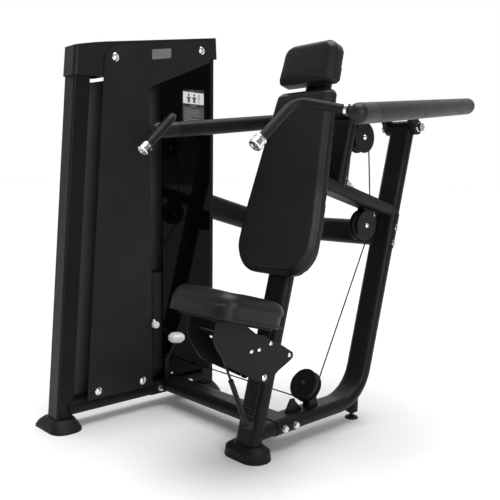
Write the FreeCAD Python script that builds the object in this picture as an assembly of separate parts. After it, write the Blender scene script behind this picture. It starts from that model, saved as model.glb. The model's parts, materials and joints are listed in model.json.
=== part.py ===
import FreeCAD, Part
import math
import os

# Selectorised shoulder press machine: a shrouded weight tower on the -X side and an
# inclined seat frame on the mid-plane X = 0, joined by two flat-oval tubes.  The user sits
# facing -Y.  Units are millimetres, +Z is up, and the origin is on the floor at the middle
# of the seat post's foot.

Vec = FreeCAD.Vector
PARTS = "parts"

# ---- driving dimensions -----------------------------------------------------------------
TUBE_WIDE = 100.0      # flat-oval frame tube, long side of the section
TUBE_THIN = 50.0       # flat-oval frame tube, short side of the section
TUBE_WALL = 3.0
LEAN_DEG = 15.0        # seat post and rear upright both lean back by this angle
SEAT_FOOT_Y = -8.0     # where the seat post's axis meets the floor
BACK_FOOT_Y = 533.0    # where the rear upright's axis would meet the floor
RAIL_Z = 78.0          # centre height of every floor-level tube
GAP = 0.4              # clearance between neighbouring bodies

PIVOT = Vec(0, 833, 1120)      # main hinge of the press arms, axis along X
ARM_DIA = 57.0
ARM_FRONT = Vec(452, -36, 1080)
ARM_REAR = Vec(300, 784, 1179)
HANDLE_DIA = 26.0
HANDLE_CORNER = Vec(273, -89, 1123)
HANDLE_END = Vec(262, -208, 1014)
HANDLE_BEND_R = 45.0

CABLE_DIA = 5.0
PITCH_R = 48.0         # radius of the cable's centreline on the large pulleys
PULLEY_R = 53.0        # outer radius of the large pulleys
COVER_R = 57.0
UPPER_PULLEY = Vec(0, 562, 1069)
LOWER_PULLEY = Vec(0, 588, 742)
CABLE_RUN_Y = 254.0    # where the cable crosses to the tower
CABLE_RUN_Z = 142.0
TOWER_PITCH_R = 32.0
TOWER_PULLEY_R = 36.0
TOP_PULLEY_Z = 1322.0

TOWER_X = -644.0       # centre plane of the weight tower
TOWER_HALF = 44.0      # half width of the tower's rail and cap
TOWER_RAIL_Z = 74.5
TOWER_RAIL_THICK = 57.0
TOWER_POST_X = 73.0    # tower upright section, across
TOWER_POST_Y = 64.0    # tower upright section, front to back
STACK_Y = 44.0
STACK_BOTTOM = 146.0
PLATE_PITCH = 15.5
PLATE_THICK = 15.0
PLATE_COUNT = 24
PLATES_RESTING = 12    # plates below the selector pin
PLATE_X = 72.0
PLATE_Y = 326.0
ROD_DIA = 25.0
ROD_OFFSET = 115.0
STEM_DIA = 22.0
PIN_DIA = 10.0

SEAT_RAIL_LOW = 135.0  # toothed rack, measured up the seat post
SEAT_RAIL_HIGH = 505.0
RACK_PITCH = 10.0
PLATE_GAP_X = 60.0     # inner face of each seat carriage plate
CARRIAGE_T = 4.0


# ---- shape helpers ----------------------------------------------------------------------
def save(name, *shapes):
    """Write one node; several shapes become a group of separate solids."""
    solids = [s for shape in shapes for s in shape.Solids]
    shape = solids[0] if len(solids) == 1 else Part.makeCompound(solids)
    shape.exportStep(os.path.join(PARTS, name + ".step"))


def minus(shape, *cutters):
    for cutter in cutters:
        shape = shape.cut(cutter)
    return shape


def plus(first, *others):
    return first.fuse(list(others)).removeSplitter()


def block(x0, x1, y0, y1, z0, z1):
    return Part.makeBox(x1 - x0, y1 - y0, z1 - z0, Vec(x0, y0, z0))


def soft_block(x0, x1, y0, y1, z0, z1, radius, axis):
    """A box whose four edges along one axis are rounded."""
    shape = block(x0, x1, y0, y1, z0, z1)
    edges = [e for e in shape.Edges if abs(e.tangentAt(e.FirstParameter).dot(axis)) > 0.9]
    return shape.makeFillet(radius, edges)


def rod(start, end, dia):
    line = end - start
    return Part.makeCylinder(dia / 2, line.Length, start, line)


def ring(centre, axis, length, outer, inner):
    start = centre - axis * (length / 2)
    return minus(
        Part.makeCylinder(outer, length, start, axis),
        Part.makeCylinder(inner, length + 2, start - axis, axis),
    )


def disc(centre, axis, length, radius):
    return Part.makeCylinder(radius, length, centre - axis * (length / 2), axis)


def mirror_x(shape):
    return shape.mirror(Vec(0, 0, 0), Vec(1, 0, 0))


def polygon(points):
    return Part.makePolygon(list(points) + [points[0]])


def plate_yz(points, x0, x1, radius=0.0):
    """A flat sheet lying in YZ, from an outline of (y, z) pairs."""
    face = Part.Face(polygon([Vec(x0, y, z) for y, z in points]))
    shape = face.extrude(Vec(x1 - x0, 0, 0))
    if radius:
        edges = [e for e in shape.Edges if abs(e.tangentAt(e.FirstParameter).x) > 0.99]
        shape = shape.makeFillet(radius, edges)
    return shape


def oval_wire(wide, thin):
    """A flat oval about the origin in XY, its long side along X."""
    r = thin / 2
    s = (wide - thin) / 2
    return Part.Wire([
        Part.LineSegment(Vec(-s, -r, 0), Vec(s, -r, 0)).toShape(),
        Part.Arc(Vec(s, -r, 0), Vec(s + r, 0, 0), Vec(s, r, 0)).toShape(),
        Part.LineSegment(Vec(s, r, 0), Vec(-s, r, 0)).toShape(),
        Part.Arc(Vec(-s, r, 0), Vec(-s - r, 0, 0), Vec(-s, -r, 0)).toShape(),
    ])


def oval_bar(wide, thin, z0, z1):
    face = Part.Face(oval_wire(wide, thin))
    face.translate(Vec(0, 0, z0))
    return face.extrude(Vec(0, 0, z1 - z0))


def frame_at(origin, x_dir, z_dir):
    """Placement whose local X and Z point along the two given directions."""
    y_dir = z_dir.cross(x_dir)
    return FreeCAD.Placement(origin, FreeCAD.Rotation(x_dir, y_dir, z_dir, "ZXY"))


def placed(shape, placement):
    shape = shape.copy()
    shape.Placement = placement.multiply(shape.Placement)
    return shape


def straight_tube(start, end, wide_dir, wide=TUBE_WIDE, thin=TUBE_THIN, wall=TUBE_WALL):
    """Outer solid and hollow tube between two points, long side along wide_dir."""
    line = end - start
    place = frame_at(start, wide_dir, line.normalize())
    length = (end - start).Length
    outer = placed(oval_bar(wide, thin, 0, length), place)
    inner = placed(oval_bar(wide - 2 * wall, thin - 2 * wall, -1, length + 1), place)
    return outer, outer.cut(inner)


def rounded_path(points, radii):
    """Straight runs joined by tangent arcs, one radius per inner point."""
    edges = []
    at = points[0]
    for before, corner, after, radius in zip(points, points[1:], points[2:], radii):
        a = (before - corner).normalize()
        b = (after - corner).normalize()
        half = a.getAngle(b) / 2
        back = radius / math.tan(half)
        p0 = corner + a * back
        p1 = corner + b * back
        middle = corner + (a + b).normalize() * (radius / math.sin(half) - radius)
        if (p0 - at).Length > 1e-6:
            edges.append(Part.LineSegment(at, p0).toShape())
        edges.append(Part.Arc(p0, middle, p1).toShape())
        at = p1
    edges.append(Part.LineSegment(at, points[-1]).toShape())
    return Part.Wire(edges)


def swept(path, section, normal):
    shell = Part.BRepOffsetAPI.MakePipeShell(path)
    shell.setBiNormalMode(normal)
    shell.add(section)
    shell.setTransitionMode(1)
    shell.build()
    shell.makeSolid()
    return shell.shape()


def bent_tube(points, radii, wide_dir, wide=TUBE_WIDE, thin=TUBE_THIN, wall=TUBE_WALL):
    """Outer solid and hollow tube along a flat path whose normal is wide_dir."""
    path = rounded_path(points, radii)
    start_dir = (points[1] - points[0]).normalize()
    place = frame_at(points[0], wide_dir, start_dir)
    outer = swept(path, placed(oval_wire(wide, thin), place), wide_dir)
    inner_wire = placed(oval_wire(wide - 2 * wall, thin - 2 * wall), place)
    inner = swept(path, inner_wire, wide_dir)
    return outer, outer.cut(inner)


def round_bar(points, radii, dia):
    path = rounded_path(points, radii)
    normal = (points[1] - points[0]).cross(points[2] - points[1]).normalize()
    circle = Part.Circle(points[0], (points[1] - points[0]).normalize(), dia / 2)
    return swept(path, Part.Wire(circle.toShape()), normal)


def hex_head(centre, axis, across, height):
    """Hexagon head or nut standing on centre, with a chamfered washer face."""
    prism = Part.makePolygon([
        Vec(across / math.sqrt(3) * math.cos(math.radians(60 * i)),
            across / math.sqrt(3) * math.sin(math.radians(60 * i)), 0)
        for i in range(7)
    ])
    head = Part.Face(prism).extrude(Vec(0, 0, height))
    washer = Part.makeCylinder(across * 0.62, height * 0.25)
    side = Vec(0, 0, 1) if abs(axis.z) < 0.9 else Vec(1, 0, 0)
    x_dir = axis.cross(side).normalize()
    return placed(head.fuse(washer), frame_at(centre, x_dir, axis))


def button_bolt(centre, axis, dia, height, socket, shank=0.0, shank_dia=8.0):
    """Domed socket head standing on centre, with an optional shank behind it."""
    dome_r = (dia * dia / 4 + height * height) / (2 * height)
    ball = Part.makeSphere(dome_r, Vec(0, 0, height - dome_r))
    head = ball.common(Part.makeBox(dia, dia, height, Vec(-dia / 2, -dia / 2, 0)))
    head = head.cut(Part.makeCylinder(socket / 2, height, Vec(0, 0, height * 0.45)))
    if shank:
        head = head.fuse(Part.makeCylinder(shank_dia / 2, shank, Vec(0, 0, -shank)))
    side = Vec(0, 0, 1) if abs(axis.z) < 0.9 else Vec(1, 0, 0)
    x_dir = axis.cross(side).normalize()
    return placed(head, frame_at(centre, x_dir, axis))


X = Vec(1, 0, 0)
Y = Vec(0, 1, 0)
Z = Vec(0, 0, 1)
LEAN = math.radians(LEAN_DEG)
LEAN_ROT = FreeCAD.Rotation(X, -LEAN_DEG)
SEAT_FRAME = FreeCAD.Placement(Vec(0, SEAT_FOOT_Y, 0), LEAN_ROT)
BACK_FRAME = FreeCAD.Placement(Vec(0, BACK_FOOT_Y, 0), LEAN_ROT)
UP_LEAN = Vec(0, math.sin(LEAN), math.cos(LEAN))
BACK_LEAN = Vec(0, math.cos(LEAN), -math.sin(LEAN))


def on_seat(x, back, up):
    """World point from seat-post coordinates: across, behind the axis, up the axis."""
    return SEAT_FRAME.multVec(Vec(x, back, up))


def on_back(x, back, up):
    return BACK_FRAME.multVec(Vec(x, back, up))


def seat_shape(shape):
    return placed(shape, SEAT_FRAME)


def back_shape(shape):
    return placed(shape, BACK_FRAME)


# ---- seat frame -------------------------------------------------------------------------
def make_seat_post():
    above_floor = block(-200, 200, -300, 900, 10, 1700)
    outer = seat_shape(oval_bar(TUBE_WIDE, TUBE_THIN, -40, 1345)).common(above_floor)
    bore = seat_shape(oval_bar(TUBE_WIDE - 2 * TUBE_WALL, TUBE_THIN - 2 * TUBE_WALL, -60, 1360))
    return outer, outer.cut(bore)


def make_base_tube(post_outer, housing):
    corner = Vec(0, BACK_FOOT_Y + RAIL_Z * math.tan(LEAN), RAIL_Z)
    points = [Vec(0, 20, RAIL_Z), corner, on_back(0, 0, 1156)]
    outer, tube = bent_tube(points, [160], X)
    outer = minus(outer, post_outer, housing)
    return outer, minus(tube, post_outer, housing)


def boot(levels, hole, y=0.0, x=0.0):
    """A moulded foot cover lofted through flat ovals given as (z, wide, deep)."""
    wires = []
    for z, wide, deep in levels:
        wire = oval_wire(wide, deep)
        wire.translate(Vec(x, y, z))
        wires.append(wire)
    return Part.makeLoft(wires, True, True).cut(hole)


def rounded_rect(x0, x1, y0, y1, z, r_far, r_near):
    """Closed wire; corners at x0 get r_far and corners at x1 get r_near."""
    q = math.sqrt(0.5)
    line = Part.LineSegment
    return Part.Wire([
        line(Vec(x0 + r_far, y0, z), Vec(x1 - r_near, y0, z)).toShape(),
        Part.Arc(Vec(x1 - r_near, y0, z),
                 Vec(x1 - r_near + r_near * q, y0 + r_near - r_near * q, z),
                 Vec(x1, y0 + r_near, z)).toShape(),
        line(Vec(x1, y0 + r_near, z), Vec(x1, y1 - r_near, z)).toShape(),
        Part.Arc(Vec(x1, y1 - r_near, z),
                 Vec(x1 - r_near + r_near * q, y1 - r_near + r_near * q, z),
                 Vec(x1 - r_near, y1, z)).toShape(),
        line(Vec(x1 - r_near, y1, z), Vec(x0 + r_far, y1, z)).toShape(),
        Part.Arc(Vec(x0 + r_far, y1, z),
                 Vec(x0 + r_far - r_far * q, y1 - r_far + r_far * q, z),
                 Vec(x0, y1 - r_far, z)).toShape(),
        line(Vec(x0, y1 - r_far, z), Vec(x0, y0 + r_far, z)).toShape(),
        Part.Arc(Vec(x0, y0 + r_far, z),
                 Vec(x0 + r_far - r_far * q, y0 + r_far - r_far * q, z),
                 Vec(x0 + r_far, y0, z)).toShape(),
    ])


def make_rear_foot(base_outer):
    y = 548.0
    stub = Part.makeCylinder(24, 80, Vec(0, y, 28)).cut(base_outer)
    stub = sorted(stub.Solids, key=lambda s: s.BoundBox.ZMin)[0]
    stem = Part.makeCylinder(6, 14, Vec(0, y, 14))
    nut = hex_head(Vec(0, y, 20), Z, 19, 8)
    dome = Part.makeCone(26, 24, 5, Vec(0, y, 0)).fuse(Part.makeCone(24, 7, 9, Vec(0, y, 5)))
    return stub, plus(dome, stem, nut)


def side_bolts(place, ups, wide=TUBE_WIDE, across=19.0):
    """Through bolts whose heads stand on the +X nose of a flat-oval tube."""
    bolts = []
    for up in ups:
        seat = place.multVec(Vec(wide / 2 + 3, 0, up))
        washer = disc(seat + X * 1.5, X, 3, 12)
        shank = rod(seat - X * 40, seat + X * 2, 10)
        bolts.append(plus(hex_head(seat + X * 3, X, across, 8), washer, shank))
    return bolts


def nose_saddle(place, z0, z1, t, bolts, wide=TUBE_WIDE, thin=TUBE_THIN):
    """U-shaped joint plate wrapped round the +X nose of a flat-oval tube."""
    shell = oval_bar(wide + 2 * t, thin + 2 * t, z0, z1)
    shell = shell.cut(oval_bar(wide + 0.1, thin + 0.1, z0 - 1, z1 + 1))
    shell = shell.cut(block(-80, -10, -60, 60, z0 - 1, z1 + 1))
    return minus(placed(shell, place), *bolts)


# ---- pulleys ----------------------------------------------------------------------------
WHEEL_HALF = 10.0
FORK_IN = 11.0
FORK_OUT = 15.0
COVER_OUT = 21.0
AXLE_R = 6.0


def wheel(centre, axis, outer, pitch):
    body = disc(centre, axis, 2 * WHEEL_HALF, outer)
    half = Part.Face(polygon([
        Vec(pitch - 1.0, 0, -2.9), Vec(outer + 1, 0, -7.5),
        Vec(outer + 1, 0, 7.5), Vec(pitch - 1.0, 0, 2.9),
    ]))
    vee = half.revolve(Vec(0, 0, 0), Z, 360)
    groove = Part.makeTorus(pitch, CABLE_DIA / 2 + 0.4)
    side = Vec(0, 0, 1) if abs(axis.z) < 0.9 else Vec(1, 0, 0)
    place = frame_at(centre, axis.cross(side).normalize(), axis)
    recess = ring(Vec(0, 0, WHEEL_HALF), Z, 8, pitch - 9, 15)
    cuts = [vee, groove, recess, recess.mirror(Vec(0, 0, 0), Z)]
    cuts.append(Part.makeCylinder(AXLE_R + 0.05, 60, Vec(0, 0, -30)))
    return minus(body, *[placed(cut, place) for cut in cuts])


def axle_bolt(centre, axis, half):
    shank = disc(centre, axis, 2 * half, AXLE_R)
    head = button_bolt(centre + axis * half, axis, 20, 6, 7)
    tail = button_bolt(centre - axis * half, axis * -1, 20, 6, 7)
    return plus(shank, head, tail)


def covers(centre, axis, radius, inner, outer, bolt):
    shapes = []
    for sign in (1, -1):
        middle = centre + axis * (sign * (inner + outer) / 2)
        plate = disc(middle, axis, outer - inner, radius)
        rim = plate.makeChamfer(1.5, [
            e for e in plate.Edges if e.Length > 300 and abs(
                (e.CenterOfMass - centre).dot(axis)) > (inner + outer) / 2])
        shapes.append(rim.cut(bolt))
    return shapes


def cable_angle():
    """Lean of the cable between the lower pulley and the floor pulley."""
    across = LOWER_PULLEY.y - CABLE_RUN_Y
    down = LOWER_PULLEY.z - CABLE_RUN_Z
    return math.atan2(across, down) + math.asin(PITCH_R / math.hypot(across, down))


DOWN_RUN = Vec(0, -math.sin(cable_angle()), -math.cos(cable_angle()))
DOWN_SIDE = Vec(0, math.cos(cable_angle()), -math.sin(cable_angle()))
CABLE_EXIT = Vec(0, CABLE_RUN_Y, CABLE_RUN_Z)
FLOOR_PULLEY = CABLE_EXIT - DOWN_RUN * PITCH_R
FLOOR_AXIS = DOWN_RUN.cross(X).normalize()
BOTTOM_PULLEY = Vec(TOWER_X - 2, CABLE_RUN_Y, CABLE_RUN_Z + TOWER_PITCH_R)
TOP_REAR_PULLEY = Vec(TOWER_X, CABLE_RUN_Y - TOWER_PITCH_R, TOP_PULLEY_Z)
TOP_FRONT_PULLEY = Vec(TOWER_X, STACK_Y + TOWER_PITCH_R, TOP_PULLEY_Z)
BETWEEN = (LOWER_PULLEY - UPPER_PULLEY).normalize()
BETWEEN_SIDE = Vec(0, -BETWEEN.z, BETWEEN.y)
ANCHOR = Vec(0, 490, 913)


def tangent_side(point, centre, radius):
    """Unit vector from a pulley to where a strand from the point touches it, on -Y."""
    gap = point - centre
    swing = math.acos(radius / gap.Length)
    start = math.atan2(gap.z, gap.y)
    return Vec(0, math.cos(start - swing), math.sin(start - swing))


ANCHOR_SIDE = tangent_side(ANCHOR, UPPER_PULLEY, PITCH_R)


def wrap(centre, from_dir, to_dir, radius, dia=CABLE_DIA):
    """Stretch of cable lying on a pulley between two unit directions."""
    normal = from_dir.cross(to_dir).normalize()
    angle = math.degrees(from_dir.getAngle(to_dir))
    circle = Part.Wire(Part.Circle(centre + from_dir * radius, normal.cross(from_dir),
                                   dia / 2).toShape())
    return Part.Face(circle).revolve(centre, normal, angle)


def make_main_cable():
    low_out = LOWER_PULLEY + DOWN_SIDE * PITCH_R
    swing = math.acos(PITCH_R / (low_out - FLOOR_PULLEY).Length)
    floor_side = X * math.sin(swing) - DOWN_RUN * math.cos(swing)
    floor_in = FLOOR_PULLEY + floor_side * PITCH_R
    floor_out = FLOOR_PULLEY + DOWN_RUN * PITCH_R
    bottom_in = BOTTOM_PULLEY - Z * TOWER_PITCH_R
    climb_end = TOP_REAR_PULLEY + Y * TOWER_PITCH_R
    rise = (climb_end - (BOTTOM_PULLEY - X * TOWER_PITCH_R)).normalize()
    bottom_side = Vec(-rise.z, 0, rise.x)
    climb_start = BOTTOM_PULLEY + bottom_side * TOWER_PITCH_R
    pieces = [
        wrap(LOWER_PULLEY, BETWEEN_SIDE, DOWN_SIDE, PITCH_R),
        rod(low_out, floor_in, CABLE_DIA),
        Part.makeSphere(CABLE_DIA / 2, low_out),
        wrap(FLOOR_PULLEY, floor_side, DOWN_RUN, PITCH_R),
        rod(floor_out, bottom_in, CABLE_DIA),
        wrap(BOTTOM_PULLEY, Z * -1, bottom_side, TOWER_PITCH_R),
        rod(climb_start, climb_end, CABLE_DIA),
        wrap(TOP_REAR_PULLEY, Y, Z, TOWER_PITCH_R),
        rod(TOP_REAR_PULLEY + Z * TOWER_PITCH_R, TOP_FRONT_PULLEY + Z * TOWER_PITCH_R,
            CABLE_DIA),
        wrap(TOP_FRONT_PULLEY, Z, Y * -1, TOWER_PITCH_R),
    ]
    pieces.append(Part.makeSphere(CABLE_DIA / 2, climb_end))
    whole = pieces[0]
    for piece in pieces[1:]:
        whole = whole.fuse(piece)
    length = whole.Volume / (math.pi * CABLE_DIA ** 2 / 4)
    print("main cable: run", round(length), "mm, thickness", CABLE_DIA)
    return whole


# ---- press arms -------------------------------------------------------------------------
ARM_LINE = (ARM_REAR - ARM_FRONT).normalize()
NOSE_LENGTH = 80.0
FRONT_BAR_Y = 490.0
LUG_IN = 51.5
LUG_OUT = 71.0
LUG_R = 28.5
HINGE_R = 12.5


def arm_point(y):
    return ARM_FRONT + ARM_LINE * ((y - ARM_FRONT.y) / ARM_LINE.y)


def make_arm_side():
    """Tube, domed nose, handle bar, grip, collar, end cap and rear cap, +X side."""
    joint = ARM_FRONT + ARM_LINE * NOSE_LENGTH
    tube = rod(joint, ARM_REAR, ARM_DIA).cut(rod(joint - ARM_LINE, ARM_REAR + ARM_LINE,
                                                ARM_DIA - 7))
    nose = plus(rod(ARM_FRONT, joint - ARM_LINE * 0.8, ARM_DIA),
                Part.makeSphere(ARM_DIA / 2, ARM_FRONT))
    nose = nose.fuse(rod(joint - ARM_LINE * 2, joint + ARM_LINE * 30, ARM_DIA - 7.2))
    tail = Part.makeSphere(ARM_DIA / 2, ARM_REAR, ARM_LINE, 0, 90, 360)
    root = ARM_FRONT + Vec(0, 0, 4)
    inward = (HANDLE_CORNER - root).normalize()
    forward = (HANDLE_END - HANDLE_CORNER).normalize()
    clear = rod(root, root + inward * (ARM_DIA / 2 + 3), HANDLE_DIA + 8)
    start = root + inward * (ARM_DIA / 2 + 1)
    bar = round_bar([root, HANDLE_CORNER, HANDLE_END], [HANDLE_BEND_R], HANDLE_DIA - 6)
    collar = ring(start + inward * 5, inward, 8, HANDLE_DIA / 2 + 3.5, HANDLE_DIA / 2 - 3)
    grip_from = start + inward * 9.2
    grip = round_bar([grip_from, HANDLE_CORNER, HANDLE_END], [HANDLE_BEND_R], HANDLE_DIA)
    cap_base = HANDLE_END + forward * 0.2
    cap = plus(
        Part.makeCylinder(19, 6, cap_base, forward),
        Part.makeCylinder(17.5, 12, cap_base + forward * 6, forward),
        Part.makeCylinder(19.5, 9, cap_base + forward * 18, forward),
        Part.makeCone(19.5, 16, 3, cap_base + forward * 27, forward),
    )
    cap = cap.cut(Part.makeCylinder(11, 4, cap_base + forward * 27.5, forward))
    cap = cap.fuse(Part.makeCylinder(5, 2, cap_base + forward * 26.5, forward))
    nose = nose.cut(bar)
    collar = minus(collar, nose)
    return {"arm_tube": tube, "arm_nose": nose, "arm_rear_cap": tail, "handle_bar": bar,
            "handle_collar": collar, "grip": grip.cut(bar), "handle_end_cap": cap}, clear


def make_arm_frame(arm_outer):
    """Cross bars, spine, hinge lugs and the bracket of the upper pulley."""
    front_at = arm_point(FRONT_BAR_Y)
    rear_at = arm_point(ARM_REAR.y)
    both = [arm_outer, mirror_x(arm_outer)]
    bars = []
    for at in (front_at, rear_at):
        left = Vec(at.x, at.y, at.z)
        right = Vec(-at.x, at.y, at.z)
        bar = rod(right, left, ARM_DIA).cut(rod(right, left, ARM_DIA - 7))
        bars.append(minus(bar, *both))
    outers = [rod(Vec(-at.x, at.y, at.z), at, ARM_DIA) for at in (front_at, rear_at)]
    spine = rod(Vec(0, front_at.y, front_at.z), Vec(0, rear_at.y, rear_at.z), 48)
    spine = minus(spine, rod(Vec(0, front_at.y, front_at.z), Vec(0, rear_at.y, rear_at.z), 41),
                  *outers)
    lugs = []
    for x0, x1 in ((LUG_IN, LUG_OUT), (-LUG_OUT, -LUG_IN)):
        eye = Part.makeCylinder(LUG_R, x1 - x0, Vec(x0, PIVOT.y, PIVOT.z), X)
        web = plate_yz([(PIVOT.y - LUG_R, PIVOT.z), (PIVOT.y + LUG_R, PIVOT.z),
                        (rear_at.y + 26, rear_at.z), (rear_at.y - 26, rear_at.z)], x0, x1)
        lug = plus(eye, web)
        lug = minus(lug, outers[1], disc(PIVOT, X, 400, HINGE_R))
        lugs.append(lug.makeFillet(4, [
            e for e in lug.Edges
            if abs(e.CenterOfMass.z - PIVOT.z + 18) < 12 and e.Length > 80
            and abs(abs(e.CenterOfMass.x) - LUG_OUT) < 0.1]))
    return bars, spine, lugs, outers


def make_upper_bracket(outers, spine_outer, bolt):
    """Two fork plates from the arm's spine to the upper pulley's axle."""
    plates = []
    for x0, x1 in ((FORK_IN, FORK_OUT), (-FORK_OUT, -FORK_IN)):
        fork = plate_yz([
            (UPPER_PULLEY.y - 42, UPPER_PULLEY.z + 86), (UPPER_PULLEY.y - 18, UPPER_PULLEY.z),
            (UPPER_PULLEY.y + 18, UPPER_PULLEY.z), (UPPER_PULLEY.y + 42, UPPER_PULLEY.z + 96),
        ], x0, x1)
        fork = plus(fork, Part.makeCylinder(18, x1 - x0, Vec(x0, UPPER_PULLEY.y,
                                                            UPPER_PULLEY.z), X))
        plates.append(minus(fork, spine_outer, bolt, *outers))
    return plates


# ---- weight tower -----------------------------------------------------------------------
FRONT_POST_LEAN = math.degrees(math.atan2(94, 1246))
FRONT_POST_Y = -335.5          # post centre at 50 mm above the floor
REAR_POST_Y = 329.0
PANEL_X = -598.0               # inner face of the seat-side panel
SHIELD_X = -606.0              # inner face of the shield
OUTER_X = TOWER_X - TOWER_HALF - 1   # inner face of the outer panel


def post_bar(size_x, size_y, radius, height):
    bar = block(-size_x / 2, size_x / 2, -size_y / 2, size_y / 2, 0, height)
    edges = [e for e in bar.Edges if abs(e.tangentAt(e.FirstParameter).z) > 0.99]
    return bar.makeFillet(radius, edges)


def make_tower_posts():
    trim = block(-800, -500, -500, 500, 10, 1300)
    lean = FreeCAD.Placement(Vec(TOWER_X, FRONT_POST_Y, 50), FreeCAD.Rotation(X, -FRONT_POST_LEAN))
    lean = lean.multiply(FreeCAD.Placement(Vec(0, 0, -70), FreeCAD.Rotation()))
    outer = post_bar(TOWER_POST_X, TOWER_POST_Y, 7, 1360)
    inner = post_bar(TOWER_POST_X - 6, TOWER_POST_Y - 6, 4, 1360)
    front_outer = placed(outer, lean).common(trim)
    front = front_outer.cut(placed(inner, lean))
    stand = FreeCAD.Placement(Vec(TOWER_X, REAR_POST_Y, 10), FreeCAD.Rotation())
    rear_outer = placed(post_bar(TOWER_POST_X, TOWER_POST_Y, 7, 1430), stand)
    rear = rear_outer.cut(placed(post_bar(TOWER_POST_X - 6, TOWER_POST_Y - 6, 4, 1440), stand))
    return front_outer, front, rear_outer, rear


def tower_boot(y, outer, flip):
    far, near = 16, 50
    shapes = [(-734, -558, 60, 0), (-733, -558, 59, 8), (-722, -572, 52, 24),
              (-698, -590, 40, 42)]
    wires = []
    for x0, x1, half, z in shapes:
        scale = half / 60
        wires.append(rounded_rect(x0, x1, y - half, y + half, z, far * scale, near * scale))
    body = Part.makeLoft(wires, True, True)
    if flip:
        body = body.mirror(Vec(TOWER_X, y, 0), Vec(0, 1, 0))
    return body.cut(outer)


PANEL_OUTLINE = [(-251, 93), (38, 93), (28, 1253), (330, 1385), (330, 1471),
                 (-119, 1394), (-160, 1352)]
PANEL_SCREWS = [(-115, 1348), (286, 1426), (-204, 120), (-7, 121)]


def panel_screws():
    screws = []
    for y, z in PANEL_SCREWS:
        screws.append(button_bolt(Vec(PANEL_X + 3, y, z), X, 30, 6.5, 10, 12, 8))
    return screws


def make_side_panel(screws):
    panel = plate_yz(PANEL_OUTLINE, PANEL_X, PANEL_X + 3)
    corners = [e for e in panel.Edges if abs(e.tangentAt(e.FirstParameter).x) > 0.99
               and e.CenterOfMass.y < -100 and e.CenterOfMass.z > 1300]
    panel = panel.makeFillet(34, corners)
    return minus(panel, *screws)


def upright_front_edges(shape):
    return [e for e in shape.Edges if e.CenterOfMass.y < -260 and e.Length > 60
            and abs(e.tangentAt(e.FirstParameter).z) > 0.9]


def panel_standoffs():
    """Solid pegs, through the cap's wall, that the panel's two top screws go into."""
    return [rod(Vec(TOWER_X + 30, y, z), Vec(PANEL_X, y, z), 16) for y, z in PANEL_SCREWS[:2]]


def make_cap():
    """Hollow plastic top cover, open underneath, with holes for the panel's standoffs."""
    outline = [(-282, 1268), (-160, 1274), (368, 1403), (363, 1488), (-150, 1399),
               (-205, 1388), (-273, 1372)]
    outer = plate_yz(outline, TOWER_X - TOWER_HALF, TOWER_X + TOWER_HALF)
    outer = outer.makeFillet(14, upright_front_edges(outer))
    wall = 3.5
    inner_outline = [(-284.4, 1200), (368 - wall, 1200), (368 - wall, 1403), (363 - wall, 1484),
                     (-150, 1395), (-204, 1384), (-270, 1366)]
    inner = plate_yz(inner_outline, TOWER_X - TOWER_HALF + wall, TOWER_X + TOWER_HALF - wall)
    inner = inner.makeFillet(10.5, upright_front_edges(inner))
    return minus(outer.cut(inner), *panel_standoffs())


def make_top_beam(front_outer, rear_outer, bolts):
    plates = []
    for side in (-1, 1):
        x = TOWER_X + side * 28
        plate = plate_yz([(-240, 1284), (310, 1284), (310, 1440), (262, 1440), (238, 1362),
                          (-205, 1362), (-240, 1340)], x - 2, x + 2)
        plates.append(minus(plate, front_outer, rear_outer, *bolts))
    ties = [block(TOWER_X - 26, TOWER_X + 26, y - 22, y + 22, 1284, 1290).cut(
        Part.makeCylinder(ROD_DIA / 2, 60, Vec(TOWER_X, y, 1260)))
        for y in (STACK_Y - ROD_OFFSET, STACK_Y + ROD_OFFSET)]
    return plates + ties


def weight_plate(index, rods, stem_hole):
    z0 = STACK_BOTTOM + index * PLATE_PITCH
    plate = block(TOWER_X - PLATE_X / 2, TOWER_X + PLATE_X / 2, STACK_Y - PLATE_Y / 2,
                  STACK_Y + PLATE_Y / 2, z0, z0 + PLATE_THICK)
    edges = [e for e in plate.Edges if abs(e.tangentAt(e.FirstParameter).z) > 0.99]
    plate = plate.makeFillet(8, edges)
    pin = rod(Vec(TOWER_X - STEM_DIA, STACK_Y, z0 + PLATE_THICK / 2),
              Vec(TOWER_X + PLATE_X, STACK_Y, z0 + PLATE_THICK / 2), PIN_DIA + 0.8)
    return minus(plate, pin, stem_hole, *rods)


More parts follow.
